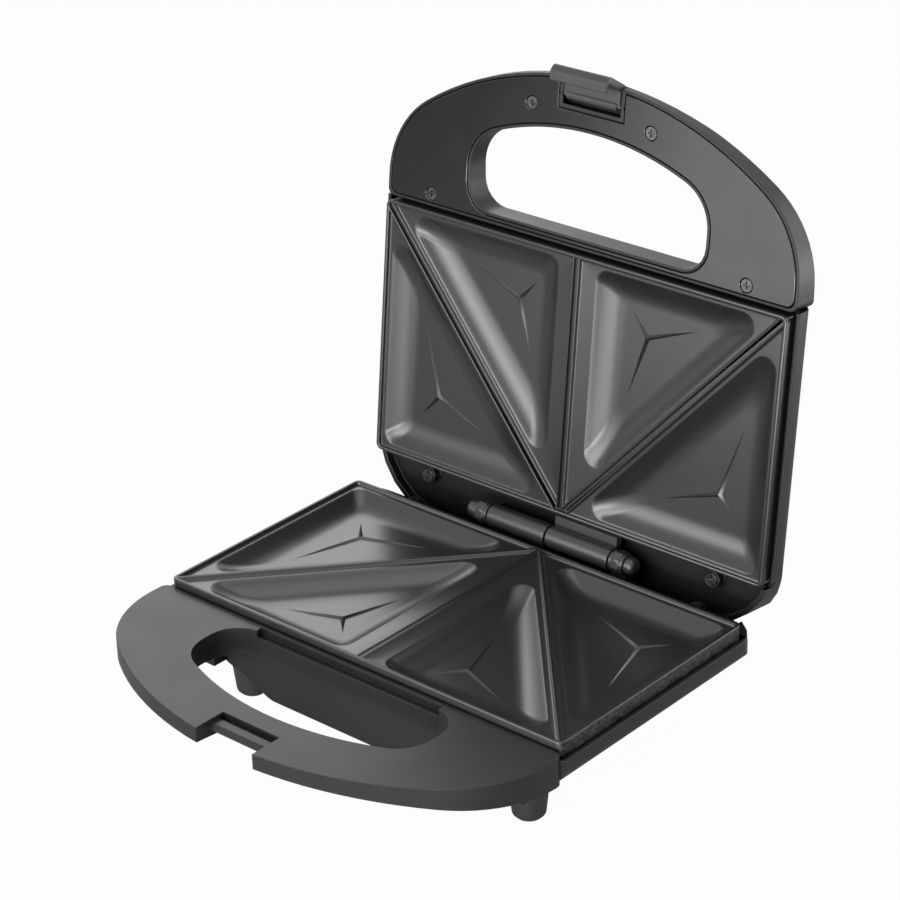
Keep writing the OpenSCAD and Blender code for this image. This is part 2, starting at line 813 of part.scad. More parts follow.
lid_shoulder = lid_rim + lid_side_h;
function dome_side(g) = let (h = case_half - g, b = case_half - lid_in - 0.6 * g,
    z = lid_shoulder - 0.6 * g, t = lid_h - g) rounded(
    [[-h, skirt_z], [h, skirt_z], [h, z], [b, t], [-b, t], [-h, z]],
    [0, 0, shoulder_r, roof_r, roof_r, shoulder_r]);
function dome_length(g) = let (t = lid_h - g) rounded([[front_y + g, skirt_z],
    [back_y - g, skirt_z], [back_y - g, lid_shoulder - 0.6 * g], [back_y - lid_in - 0.6 * g, t],
    [front_y + lid_front_in + 0.6 * g, t], [front_y + g, lid_grip_root - 0.4 * g]],
    [0, 0, shoulder_r, roof_r, shoulder_r, 4]);
function lid_plan(g) = rounded([[-case_half + g, front_y + g], [case_half - g, front_y + g],
    [case_half - g, back_y - g], [-case_half + g, back_y - g]], [0, 0, rear_r - g, rear_r - g]);
module dome(g) {
    intersection() {
        between(skirt_z, lid_h + 1) polygon(lid_plan(g));
        along_y(big) polygon(dome_side(g));
        along_x(big) polygon(dome_length(g));
    }
}
// Hollow of the lid, closed behind the plate by the recess floor
module lid_hollow() {
    difference() {
        dome(wall_t);
        box(-big, big, half_d + 2, big, recess_z, recess_z + wall_t);
    }
    box(-inner_half, inner_half, front_y, half_d + 2, skirt_z, recess_z);
}
function lid_grip(g) = grip_outline(-lid_tip - g, lid_grip_r - g, lid_corner_r - g, grip_half - g,
    grip_back(front_y - g, -lid_tip, lid_grip_r, lid_corner_r, grip_half), root_r);
function lid_hole(g) = grip_outline(half_d + lid_hole_front + g,
    lid_grip_r - lid_grip_reach + lid_hole_front + g, lid_hole_r + g, hole_half + g,
    casing_front + g, lid_hole_back_r + g);
module lid_grip_body() {
    intersection() {
        between(skirt_z, lid_h) polygon(lid_grip(0));
        along_x(big) polygon(rounded([[lid_tip - 1, lid_face], [front_y, lid_face],
            [front_y, lid_grip_root], [lid_tip + tip_in, lid_grip_tip],
            [lid_tip - 1, pocket_top + seat_h]], [0, 0, 0, tip_r, 0]));
    }
}
// Face of the lid grip, kept g away from the shell's edges, the hole and the latch pocket
module grip_face(g) {
    difference() {
        intersection() {
            polygon(lid_grip(g));
            translate([-big / 2, lid_tip - 5]) square([big, front_y - g - lid_tip + 5]);
        }
        polygon(lid_hole(g));
        translate([-pocket_half - frame_t - g + cover_edge, lid_tip - 5])
            square([2 * (pocket_half + frame_t + g - cover_edge),
                pocket_back + frame_t + g - cover_edge - lid_tip + 5]);
    }
}
module cover_screw_places() {
    both_sides() {
        translate([cover_front_x, cover_front_y, lid_face]) children();
        translate([cover_back_x, cover_back_y, lid_face]) children();
    }
}
module lid_posts() {
    z = plate_gap + sheet_z + sheet_t;
    for (s = studs)
        translate([s.x, s.y, z]) cylinder(h = lid_h - 1 - z, r = stud_r + 1);
    both_sides() translate([lid_screw_x, lid_screw_y, lid_rim + seat_h])
        cylinder(h = recess_z - lid_rim, r = head_r + boss_t);
}
module lid_bores() {
    cover_screw_places()
        cylinder(h = cover_bore_h + cover_screw_l + seat_h, r = screw_r + fit);
    both_sides() translate([lid_screw_x, lid_screw_y, lid_rim]) {
        cylinder(h = head_h + seat_h, r = head_r + 0.2);
        cylinder(h = recess_z + wall_t - lid_rim + 1, r = screw_r + fit);
    }
    both_sides() translate([lamp_x, lamp_y, lid_h - wall_t - 1])
        cylinder(h = wall_t + 2, r = lamp_r + lamp_fit);
    rod(-big / 2, big / 2, hinge_y, hinge_z, pin_r + pin_fit);
    rod(-pocket_half - frame_t - 1, pocket_half + frame_t + 1, rod_y, rod_z, rod_r + fit);
}
module lid_shell() {
    color("#3a3b3e") lid_placed() difference() {
        union() {
            difference() {
                above(lid_rim) dome(0);
                lid_hollow();
            }
            lid_grip_body();
            intersection() {
                lid_posts();
                dome(1);
            }
            rod(lid_barrel_x, lid_barrel_x + lid_barrel, hinge_y, hinge_z, barrel_r);
            box(lid_barrel_x, lid_barrel_x + lid_barrel, hinge_y - web_half, hinge_y + web_half,
                hinge_z, recess_z + 1);
        }
        between(lid_face - 1, lid_face + cover_t) grip_face(cover_edge);
        between(skirt_z, lid_h) polygon(lid_hole(0));
        box(-pocket_half, pocket_half, lid_tip - 5, pocket_back, skirt_z, pocket_top);
        lid_bores();
    }
}
module handle_cover() {
    color("#1f2022") lid_placed() difference() {
        between(lid_face, lid_face + cover_t) grip_face(cover_edge + cover_gap);
        cover_screw_places() {
            translate([0, 0, -1]) cylinder(h = cover_t + 2, r = screw_r + 0.2);
            translate([0, 0, -1]) cylinder(h = cover_bore_h + 1, r = head_r + head_fit);
        }
    }
}
module cover_screws() {
    color("#17181a") lid_placed() cover_screw_places() translate([0, 0, cover_bore_h])
        mirror([0, 0, 1]) screw(cover_screw_l);
}
module lid_screws() {
    color("#2b2c2e") lid_placed() both_sides()
        translate([lid_screw_x, lid_screw_y, lid_rim + seat_h + head_h]) mirror([0, 0, 1])
            screw(recess_z + wall_t - lid_rim - head_h);
}
module lamp(x) {
    lid_placed() translate([x, lamp_y, lid_h - wall_t - 1]) rotate_extrude() polygon(rounded(
        [[0, 0], [lamp_r + 1, 0], [lamp_r + 1, 1], [lamp_r, 1], [lamp_r, wall_t + 2],
        [0, wall_t + 2]], [0, 0, 0, 0, 1, 0]));
}
module lamp_power() {
    color("#b3261e") lamp(-lamp_x);
}
module lamp_ready() {
    color("#2f8f4e") lamp(lamp_x);
}

/* Latch, hanging from its rod */

module latch_rod() {
    color("#a9acb0") lid_placed()
        rod(-pocket_half - frame_t, pocket_half + frame_t, rod_y, rod_z, rod_r);
}
module latch() {
    front = -latch_reach;
    hook = -latch_drop;
    color("#5a5a58") lid_placed() translate([0, rod_y, rod_z]) difference() {
        union() {
            along_x(latch_w) polygon(rounded([[0.5, strap_top], [-rod_in - 0.1, strap_top],
                [front, hook + 2.5], [front + 2.6, hook], [-lip_in, hook], [-lip_in, hook + 1.2],
                [front + 3, hook + 2.2], [-rod_in + 1.9, strap_top - latch_t],
                [0.5, strap_top - latch_t]], [0, 1.2, 1.8, 2, 0.5, 0.5, 0.6, 1, 0]));
            rod(-latch_w / 2 + knuckle_in, latch_w / 2 - knuckle_in, 0, 0, knuckle_r);
        }
        rod(-latch_w / 2 - 1, latch_w / 2 + 1, 0, 0, rod_r + fit);
    }
}

base_shell();
base_plate();
base_reflector();
base_element();
thermostat();
thermal_fuse();
terminal_block();
cord_bushing();
foot_front_left();
foot_front_right();
foot_rear_left();
foot_rear_right();
foot_pads();
deck_screws();
base_screws();
hinge_pin();
hinge_caps();
base_hinge_clip();
lid_shell();
handle_cover();
lid_plate();
lid_reflector();
lid_element();
cover_screws();
lid_screws();
latch_rod();
lid_hinge_clip();
lamp_power();
lamp_ready();
latch();
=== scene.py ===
import json
import math

import bmesh
import bpy
from mathutils import Matrix, Vector

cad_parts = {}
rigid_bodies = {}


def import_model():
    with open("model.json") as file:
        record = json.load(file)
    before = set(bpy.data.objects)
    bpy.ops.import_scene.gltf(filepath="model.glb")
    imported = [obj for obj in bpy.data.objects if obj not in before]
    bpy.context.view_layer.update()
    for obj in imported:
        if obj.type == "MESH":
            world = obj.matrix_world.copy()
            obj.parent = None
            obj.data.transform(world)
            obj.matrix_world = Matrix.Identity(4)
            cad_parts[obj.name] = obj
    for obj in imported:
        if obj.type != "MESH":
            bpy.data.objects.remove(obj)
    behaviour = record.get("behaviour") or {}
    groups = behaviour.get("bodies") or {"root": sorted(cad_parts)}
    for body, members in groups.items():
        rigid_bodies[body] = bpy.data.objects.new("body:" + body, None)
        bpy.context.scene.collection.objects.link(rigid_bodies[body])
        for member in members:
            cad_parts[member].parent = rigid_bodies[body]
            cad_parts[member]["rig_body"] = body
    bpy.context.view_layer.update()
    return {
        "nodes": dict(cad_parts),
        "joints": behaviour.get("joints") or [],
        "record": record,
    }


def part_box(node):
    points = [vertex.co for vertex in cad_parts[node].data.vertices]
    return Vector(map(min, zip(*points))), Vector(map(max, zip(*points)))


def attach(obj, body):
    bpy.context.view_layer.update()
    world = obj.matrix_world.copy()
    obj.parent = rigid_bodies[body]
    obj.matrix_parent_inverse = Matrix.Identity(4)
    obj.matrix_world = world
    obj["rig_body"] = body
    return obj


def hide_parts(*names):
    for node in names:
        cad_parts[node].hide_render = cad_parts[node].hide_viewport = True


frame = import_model()
nodes = frame["nodes"]
slots = {row["node"]: row["material_slot"] for row in frame["record"]["subparts"]}

MM = 0.001

# ---------------------------------------------------------------- places

# The plates' own frame: x and y from their middle, z from the base plate's rim
low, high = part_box("base_plate")
HALF_W = (high.x - low.x) / 2
HALF_D = (high.y - low.y) / 2
ORIGIN = Vector(((low.x + high.x) / 2, (low.y + high.y) / 2, high.z))
PLATE_GAP = 1.0 * MM

lid_joint = next(j for j in frame["joints"] if j["child"] == "lid")
AXLE = Vector(lid_joint["pos_m"])
OPEN = -math.radians(lid_joint["range_deg"][1])

# From the plates' frame to the scene's: for the base, and for the lid, which was drawn shut
base_place = Matrix.Translation(ORIGIN)
lid_place = (Matrix.Translation(AXLE) @ Matrix.Rotation(OPEN, 4, "X")
             @ Matrix.Translation(-AXLE) @ base_place)
# The lid's plate is the base's, turned over about the middle of the gap
lid_plate_place = (lid_place @ Matrix.Translation((0, 0, PLATE_GAP))
                   @ Matrix.Diagonal((1, 1, -1, 1)))

# ---------------------------------------------------------------- materials

# Sockets of a Mix node, which have one name for every type: first, second and result
MIX_VECTOR = (4, 5, 1)
MIX_COLOUR = (6, 7, 2)


class Nodes:
    """A short way to write a node tree."""

    def __init__(self, tree):
        tree.nodes.clear()
        self.tree = tree

    def new(self, kind, **values):
        node = self.tree.nodes.new(kind)
        for key, value in values.items():
            setattr(node, key, value)
        return node

    def link(self, a, out, b, to):
        self.tree.links.new(a.outputs[out], b.inputs[to])

    def larger(self, a, a_out, b, b_out):
        node = self.new("ShaderNodeMath", operation="MAXIMUM")
        self.link(a, a_out, node, 0)
        self.link(b, b_out, node, 1)
        return node

    def times(self, a, out, factor):
        node = self.new("ShaderNodeMath", operation="MULTIPLY")
        self.link(a, out, node, 0)
        node.inputs[1].default_value = factor
        return node

    def seen_rays(self, path):
        """1 for camera, glossy and transmission rays, 0 for all others."""
        first = self.larger(path, "Is Camera Ray", path, "Is Glossy Ray")
        return self.larger(first, 0, path, "Is Transmission Ray")


class Surface(Nodes):
    """The nodes of a material with one Principled shader."""

    def __init__(self, name):
        self.mat = bpy.data.materials.new(name)
        self.mat.use_nodes = True
        super().__init__(self.mat.node_tree)
        self.out = self.new("ShaderNodeOutputMaterial")
        self.shader = self.new("ShaderNodeBsdfPrincipled")
        self.link(self.shader, 0, self.out, "Surface")
        self.coords = self.new("ShaderNodeTexCoord")

    def noise(self, scale, detail, rough=0.5):
        node = self.new("ShaderNodeTexNoise")
        node.inputs["Scale"].default_value = scale
        node.inputs["Detail"].default_value = detail
        node.inputs["Roughness"].default_value = rough
        self.link(self.coords, "Object", node, "Vector")
        return node

    def ramp(self, source, out, stops):
        node = self.new("ShaderNodeValToRGB")
        ramp = node.color_ramp
        while len(ramp.elements) < len(stops):
            ramp.elements.new(0.5)
        for element, (place, colour) in zip(ramp.elements, stops):
            element.position = place
            element.color = (*colour, 1)
        self.link(source, out, node, "Fac")
        return node

    def bump(self, source, out, strength, distance, normal=None):
        node = self.new("ShaderNodeBump")
        node.inputs["Strength"].default_value = strength
        node.inputs["Distance"].default_value = distance
        self.link(source, out, node, "Height")
        if normal is not None:
            self.link(normal, "Normal", node, "Normal")
        return node

    def rounding(self, radius):
        """Normals that round off every edge by a small radius."""
        node = self.new("ShaderNodeBevel", samples=6)
        node.inputs["Radius"].default_value = radius
        return node

    def spread(self, source, out, low_value, high_value, to):
        """Values of 0 to 1 brought to a range and sent to one of the shader's inputs."""
        node = self.new("ShaderNodeMapRange")
        node.inputs["To Min"].default_value = low_value
        node.inputs["To Max"].default_value = high_value
        self.link(source, out, node, "Value")
        self.link(node, "Result", self.shader, to)


def grey(v, warm=0.0):
    """A grey with a trace less green, warmer above 0 and cooler below."""
    return (v * (1 + warm), v * 0.97, v * (1 - warm))


def moulding(name, dark, light, rough, grain, specular=0.5, edge=0.45 * MM, scale=900,
             shade=0):
    """Moulded plastic: slow changes of tone and gloss under a fine spark-eroded grain.

    With shade, a distance, tone and shine carry painted shade: they darken wherever another wall
    stands within that distance.
    """
    n = Surface(name)
    tone = n.ramp(n.noise(14, 3), "Fac", [(0.3, dark), (0.72, light)])
    if shade:
        # Painted shade: ambient occlusion darkens the tone and lowers the shine near other walls
        corner = n.new("ShaderNodeAmbientOcclusion", samples=8)
        corner.inputs["Distance"].default_value = shade
        first, second, result = MIX_COLOUR
        dim = n.new("ShaderNodeMix", data_type="RGBA", blend_type="MULTIPLY")
        dim.inputs["Factor"].default_value = 0.8
        n.link(tone, "Color", dim, first)
        n.link(corner, "Color", dim, second)
        n.link(dim, result, n.shader, "Base Color")
        n.spread(corner, "AO", 0.25 * specular, specular, "Specular IOR Level")
    else:
        n.link(tone, "Color", n.shader, "Base Color")
        n.shader.inputs["Specular IOR Level"].default_value = specular
    n.spread(n.noise(55, 4, 0.6), "Fac", rough - 0.05, rough + 0.06, "Roughness")
    bumped = n.bump(n.noise(scale, 2, 0.6), "Fac", grain, 0.05 * MM, n.rounding(edge))
    n.link(bumped, "Normal", n.shader, "Normal")
    return n.mat


def metal(name, dark, light, rough, stretch=(1, 1, 1), edge=0.25 * MM):
    """Metal with fine drawn or rolled lines along one axis."""
    n = Surface(name)
    mapping = n.new("ShaderNodeMapping")
    mapping.inputs["Scale"].default_value = stretch
    n.link(n.coords, "Object", mapping, "Vector")
    lines = n.new("ShaderNodeTexNoise")
    lines.inputs["Scale"].default_value = 500
    lines.inputs["Detail"].default_value = 3
    n.link(mapping, "Vector", lines, "Vector")
    tone = n.ramp(lines, "Fac", [(0.3, dark), (0.7, light)])
    n.link(tone, "Color", n.shader, "Base Color")
    n.spread(lines, "Fac", rough - 0.06, rough + 0.08, "Roughness")
    bumped = n.bump(lines, "Fac", 0.2, 0.02 * MM, n.rounding(edge))
    n.link(bumped, "Normal", n.shader, "Normal")
    n.shader.inputs["Metallic"].default_value = 1
    return n.mat


def non_stick(name, dark, light, rough):
    """Sprayed non-stick coating: fine speckle in tone and gloss over a soft orange peel."""
    n = Surface(name)
    speckle = n.noise(1500, 2, 0.7)
    tone = n.ramp(speckle, "Fac", [(0.35, dark), (0.68, light)])
    n.link(tone, "Color", n.shader, "Base Color")
    n.spread(speckle, "Fac", rough - 0.05, rough + 0.08, "Roughness")
    peel = n.bump(n.noise(420, 3, 0.6), "Fac", 0.10, 0.05 * MM)
    bumped = n.bump(speckle, "Fac", 0.12, 0.03 * MM, peel)
    n.link(bumped, "Normal", n.shader, "Normal")
    n.shader.inputs["Specular IOR Level"].default_value = 0.72
    return n.mat


def cast_edge(name, dark, light, rough):
    """The plate's cast side: crinkled worm tracks under the coating."""
    n = Surface(name)
    tracks = n.new("ShaderNodeTexVoronoi", feature="SMOOTH_F1")
    tracks.inputs["Scale"].default_value = 330
    first, second, result = MIX_VECTOR
    bent = n.new("ShaderNodeMix", data_type="VECTOR")
    bent.inputs["Factor"].default_value = 0.02
    n.link(n.coords, "Object", bent, first)
    n.link(n.noise(260, 3, 0.6), "Color", bent, second)
    n.link(bent, result, tracks, "Vector")
    tone = n.ramp(tracks, "Distance", [(0.40, dark), (0.52, light), (0.64, dark)])
    n.link(tone, "Color", n.shader, "Base Color")
    n.shader.inputs["Roughness"].default_value = rough
    n.shader.inputs["Specular IOR Level"].default_value = 0.3
    bumped = n.bump(tone, "Color", 0.9, 0.4 * MM)
    n.link(bumped, "Normal", n.shader, "Normal")
    return n.mat


M = {
    # The casing carries painted shade, darker in its hollows and near other walls within 25 mm
    "casing": moulding("casing_plastic", grey(0.009, -0.09), grey(0.013, -0.09), 0.40, 0.22,
                       specular=0.38, shade=25 * MM),
    "cover": moulding("gloss_plastic", grey(0.007, -0.1), grey(0.009, -0.1), 0.20, 0.02,
                      edge=0.35 * MM, scale=300),
    "plate": non_stick("non_stick", grey(0.007, -0.03), grey(0.013, -0.03), 0.29),
    "plate_edge": cast_edge("cast_edge", grey(0.004), grey(0.05), 0.46),
    "reflector": metal("rolled_sheet", grey(0.45), grey(0.62), 0.3, (1, 8, 1)),
    "element": metal("heater_sheath", grey(0.10), grey(0.2), 0.5),
    "ceramic": moulding("ceramic", grey(0.5, 0.06), grey(0.6, 0.05), 0.6, 0.3),
    "terminal": moulding("terminal_resin", grey(0.55, 0.03), grey(0.62, 0.03), 0.5, 0.2),
    "rubber_black": moulding("black_rubber", grey(0.012), grey(0.018), 0.6, 0.4),
    "foot": moulding("foot_plastic", grey(0.016, -0.04), grey(0.021, -0.04), 0.46, 0.3),
    "screw": metal("blackened_steel", grey(0.07), grey(0.13), 0.32, edge=0.12 * MM),
    "steel": metal("bright_steel", grey(0.5), grey(0.62), 0.2, (1, 12, 12)),
    "hinge": moulding("hinge_plastic", grey(0.018, -0.05), grey(0.024, -0.05), 0.33, 0.3,
                      specular=0.6),
    "latch": moulding("latch_plastic", grey(0.030, 0.03), grey(0.038, 0.03), 0.44, 0.15,
                      specular=0.4),
    "lamp_red": moulding("red_lens", (0.30, 0.008, 0.006), (0.38, 0.012, 0.008), 0.2, 0.02),
    "lamp_green": moulding("green_lens", (0.006, 0.20, 0.02), (0.01, 0.26, 0.03), 0.2, 0.02),
}

# ---------------------------------------------------------------- CAD pieces

for name, obj in nodes.items():
    obj.data.materials.clear()
    obj.data.materials.append(M[slots[name]])


def smooth_by_angle(mesh, degrees):
    """Soft shading over curves, hard over edges."""
    mesh.shade_smooth()
    mesh.set_sharp_from_angle(angle=math.radians(degrees))


def add_object(name, mesh):
    piece = bpy.data.objects.new(name, mesh)
    bpy.context.scene.collection.objects.link(piece)
    return piece


def round_edges(piece, width, segments, degrees, clamp=True):
    bevel = piece.modifiers.new("edge", "BEVEL")
    bevel.width = width
    bevel.segments = segments
    bevel.limit_method = "ANGLE"
    bevel.angle_limit = math.radians(degrees)
    bevel.use_clamp_overlap = clamp


def dress(name, edge=0):
    """A CAD node's own shape as a clean mesh, for the pieces whose curves show."""
    source = nodes[name]
    mesh = source.data.copy()
    bm = bmesh.new()
    bm.from_mesh(mesh)
    bmesh.ops.remove_doubles(bm, verts=bm.verts, dist=0.002 * MM)
    bmesh.ops.dissolve_limit(bm, angle_limit=math.radians(0.5), verts=bm.verts, edges=bm.edges)
    bm.to_mesh(mesh)
    bm.free()
    smooth_by_angle(mesh, 28)
    piece = add_object(name + "_fine", mesh)
    if edge:
        round_edges(piece, edge, 2, 40, clamp=name == "base_shell")
    weighted = piece.modifiers.new("weighted", "WEIGHTED_NORMAL")
    weighted.keep_sharp = True
    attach(piece, source["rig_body"])
    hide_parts(name)


# ---------------------------------------------------------------- plates

# Forms of the plates, as in part.scad, with z down from the rim
LAND = -1.6 * MM
FLOOR = -7.8 * MM
# Width of the land, from each kind of edge to a pocket's mouth
LAND_IN = {"rim": 4.0 * MM, "seam": 4.25 * MM, "middle": 10.5 * MM}
WALL = 13.0 * MM
MOUTH_R = 6.0 * MM
FLOOR_R = 2.2 * MM
ARC_STEPS = 8

# Rolled edge of a pocket's mouth, in mm: in from the mouth, below the land, added radius
ROLL = ((-0.7, 0, 0.5), (-0.35, 0.03, 0.3), (-0.05, 0.14, 0), (0.25, 0.36, 0))
# The hollow wall between that edge and the floor: rings, and how early it levels out
WALL_STEPS = 12
HOLLOW = 2.3

# What divides the pockets, out to the land, in mm: in from the rim, in from the seam's
# middle, height against the rim, corner radius. The base has a ridge, and the lid a channel
# between two beads, which the ridge shuts into.
RIDGE = ((1.0, 0.12, -0.02, 0), (1.0, 0.55, -0.06, 0), (1.1, 0.85, -0.3, 0.1),
         (1.3, 1.15, -1.1, 0.2), (1.6, 1.4, -1.45, 0.4), (2.2, 1.8, -1.6, 0.6))
CHANNEL = ((1.0, 1.0, -1.6, 0), (1.0, 1.02, -0.35, 0), (1.0, 1.15, -0.1, 0),
           (1.1, 1.45, 0.0, 0), (1.2, 1.75, -0.1, 0.1), (1.3, 1.95, -0.35, 0.2),
           (1.5, 2.1, -1.2, 0.3), (2.2, 2.4, -1.55, 0.6), (2.6, 2.8, -1.6, 1))

# The skirt and the rim's lip, in mm: in from the plate's edge, height against the rim
SKIRT_H = 7
RIM_R = 3.0
RIM = ((2.4, -SKIRT_H), (0, -SKIRT_H), (0, -0.55), (0.12, -0.2), (0.4, 0.0), (0.85, 0.02),
       (1.3, -0.03), (1.6, -0.2), (1.72, -0.55), (1.8, -1.3), (2.1, -1.6), (2.7, -1.66))
# How many of that profile's rows of faces take the second material
SIDE_ROWS = 3

# Creases: height in the middle, arm's length as a share of the way to the floor's corners,
# place and height of the arm's middle as shares, and reach of the foot between two arms
CREASE = 0.95 * MM
ARM = 0.76
ARM_MIDDLE = 0.5
ARM_HEIGHT = 0.78
FOOT = 1.35 * MM


def unit(v):
    return v / v.length


def meet(p, u, q, v):
    """Where the line through p along u crosses the line through q along v."""
    n = Vector((-v.y, v.x))
    return p + u * ((q - p).dot(n) / u.dot(n))


def inset(corners, by):
    """A triangle's corners after each edge moves in by its own distance."""
    out = []
    for i in range(3):
        j = (i + 2) % 3
        u = unit(corners[(i + 1) % 3] - corners[i])
        v = unit(corners[i] - corners[j])
        p = corners[i] + Vector((-u.y, u.x)) * by[i]
        q = corners[j] + Vector((-v.y, v.x)) * by[j]
        out.append(meet(p, u, q, v))
    return out


def rounded(corners, radius, steps):
    """An outline with arcs at its corners, each of steps + 1 points."""
    out = []
    for i, p in enumerate(corners):
        u = unit(corners[i - 1] - p)
        v = unit(corners[(i + 1) % len(corners)] - p)
        if radius <= 0:
            out += [p.copy()] * (steps + 1)
            continue
        half = math.acos(max(-1, min(1, u.dot(v)))) / 2
        centre = p + unit(u + v) * (radius / math.sin(half))
        start = p + u * (radius / math.tan(half)) - centre
        finish = p + v * (radius / math.tan(half)) - centre
        a0 = math.atan2(start.y, start.x)
        turn = math.atan2(finish.y, finish.x) - a0
        turn = (turn + math.pi) % (2 * math.pi) - math.pi
        for k in range(steps + 1):
            t = a0 + turn * k / steps
            out.append(centre + radius * Vector((math.cos(t), math.sin(t))))
    return out


def loft(bm, loops):
    """Faces between each closed loop of vertices and the next, row by row."""
    rows = []
    for a, b in zip(loops, loops[1:]):
        n = len(a)
        rows.append([bm.faces.new((a[i], a[(i + 1) % n], b[(i + 1) % n], b[i]))
                     for i in range(n)])
    return rows


def wall_rings():
    """(how far in from the mouth, z, corner radius) of each ring down to the floor."""
    rows = [(reach * MM, LAND - drop * MM, MOUTH_R + more * MM) for reach, drop, more in ROLL]
    start, top, _ = rows[-1]
    for k in range(1, WALL_STEPS + 1):
        t = k / WALL_STEPS
        reach = start + (WALL - start) * t
        z = top + (FLOOR - top) * (1 - (1 - t) ** HOLLOW)
        rows.append((reach, z, max(FLOOR_R, MOUTH_R - reach * 0.25)))
    return rows


def crease(bm, corners, square):
    """A star of three tapered ridges on a pocket's floor, nearest its square corner."""
    middle = (sum(corners, Vector((0, 0))) + corners[square]) / 4
    tips = [middle + (p - middle) * ARM for p in corners]
    order = sorted(tips, key=lambda p: math.atan2(p.y - middle.y, p.x - middle.x))
    base = FLOOR - 0.02 * MM
    top = bm.verts.new((middle.x, middle.y, FLOOR + CREASE))
    ends, ridges, feet = [], [], []
    for i, tip in enumerate(order):
        way = unit(unit(tip - middle) + unit(order[(i + 1) % 3] - middle))
        foot = middle + way * FOOT
        half = middle + (tip - middle) * ARM_MIDDLE
        ends.append(bm.verts.new((tip.x, tip.y, base)))
        ridges.append(bm.verts.new((half.x, half.y, FLOOR + CREASE * ARM_HEIGHT)))
        feet.append(bm.verts.new((foot.x, foot.y, base)))
    for i in range(3):
        for foot in (feet[i], feet[i - 1]):
            bm.faces.new((top, ridges[i], foot))
            bm.faces.new((ridges[i], ends[i], foot))


def left_pockets(bm, divider):
    """The side pocket and the front pocket left of the middle, from their dividers inwards."""
    w, d = HALF_W, HALF_D
    side = [Vector((-w, -d)), Vector((0, d)), Vector((-w, d))]
    front = [Vector((-w, -d)), Vector((0, -d)), Vector((0, d))]
    for corners, kinds, square in ((side, ("seam", "rim", "rim"), 2),
                                   (front, ("rim", "middle", "seam"), 1)):
        rows = [([(rim_in if kind == "rim" else seam_in) * MM for kind in kinds], z * MM, r * MM)
                for rim_in, seam_in, z, r in divider]
        rows += [([LAND_IN[kind] + reach for kind in kinds], z, r)
                 for reach, z, r in wall_rings()]
        rings = []
        for by, z, r in rows:
            points = rounded(inset(corners, by), r, ARC_STEPS)
            rings.append([bm.verts.new((p.x, p.y, z)) for p in points])
        loft(bm, rings)
        bm.faces.new(rings[-1])
        crease(bm, inset(corners, rows[-1][0]), square)


def channel_floors(bm):
    """Strips along the channels' floors, a hair apart in height where they cross."""
    for k, x in enumerate((-HALF_W, 0, HALF_W)):
        p = Vector((x, -HALF_D + 1.5 * MM))
        q = Vector((0, HALF_D - 1.5 * MM))
        along = unit(q - p)
        across = Vector((-along.y, along.x)) * 1.06 * MM
        z = (-1.5 - 0.02 * k) * MM
        strip = (p - across, q - across, q + across, p + across)
        bm.faces.new([bm.verts.new((c.x, c.y, z)) for c in strip])


def rim_and_skirt(bm):
    """The rim's lip and the skirt, swept round the plate.

    Its left and right sides take the second material.
    """
    w, d = HALF_W, HALF_D
    loops = []
    for by, z in RIM:
        r = max(RIM_R - by, 0.8) * MM
        x, y = w - by * MM, d - by * MM
        square = [Vector((-x, -y)), Vector((x, -y)), Vector((x, y)), Vector((-x, y))]
        loops.append([bm.verts.new((p.x, p.y, z * MM)) for p in rounded(square, r, 6)])
    for faces in loft(bm, loops)[:SIDE_ROWS]:
        for face in faces:
            if abs(face.calc_center_median().x) > w - MM:
                face.material_index = 1


def make_plate(name, node, body, place, divider, side):
    """A plate's visible surface, with its sides' material as the second slot."""
    bm = bmesh.new()
    left_pockets(bm, divider)
    bmesh.ops.mirror(bm, geom=bm.verts[:] + bm.edges[:] + bm.faces[:], axis="X",
                     merge_dist=0.0001 * MM)
    if divider is CHANNEL:
        channel_floors(bm)
    rim_and_skirt(bm)
    bmesh.ops.remove_doubles(bm, verts=bm.verts, dist=0.001 * MM)
    bmesh.ops.recalc_face_normals(bm, faces=bm.faces)
    for face in bm.faces:
        # every open sheet faces up, apart from the skirt's own sides
        if face.material_index == 0 and face.normal.z < 0:
            face.normal_flip()
    bmesh.ops.transform(bm, matrix=place, verts=bm.verts)
    if place.determinant() < 0:
        bmesh.ops.reverse_faces(bm, faces=bm.faces)
    mesh = bpy.data.meshes.new(name)
    bm.to_mesh(mesh)
    bm.free()
    smooth_by_angle(mesh, 40)
    mesh.materials.append(M["plate"])
    mesh.materials.append(M[side])
    piece = add_object(name, mesh)
    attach(piece, body)
    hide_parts(node)


make_plate("lower_plate", "base_plate", "base", base_place, RIDGE, "plate_edge")
make_plate("upper_plate", "lid_plate", "lid", lid_plate_place, CHANNEL, "plate")

for name in ("base_shell", "lid_shell", "handle_cover"):
    dress(name, edge=0.35 * MM)
for name in ("latch", "latch_rod", "hinge_caps",
             "base_hinge_clip", "lid_hinge_clip", "foot_front_left", "foot_front_right",
             "foot_rear_left", "foot_rear_right", "cover_screws", "lid_screws", "deck_screws",
             "base_screws", "lamp_power", "lamp_ready", "cord_bushing", "foot_pads", "hinge_pin"):
    dress(name)

# ---------------------------------------------------------------- hinge

# Collars on the clips, and sleeves on the two long barrels
COLLAR_R = 5.5 * MM
COLLAR_TURN = math.radians(12)
SLEEVE_R = 5.15 * MM
SLEEVE_GAP = 0.8 * MM
LID_BARREL = 35.5 * MM

base_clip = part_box("base_hinge_clip")
lid_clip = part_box("lid_hinge_clip")
lid_barrel_end = base_clip[0].x
barrel_seam = lid_barrel_end - LID_BARREL


def ring(radius, count, first=0.0):
    """Points round the axle, as (y, z)."""
    angles = [first + 2 * math.pi * k / count for k in range(count)]
    return [(AXLE.y + radius * math.cos(a), AXLE.z + radius * math.sin(a)) for a in angles]


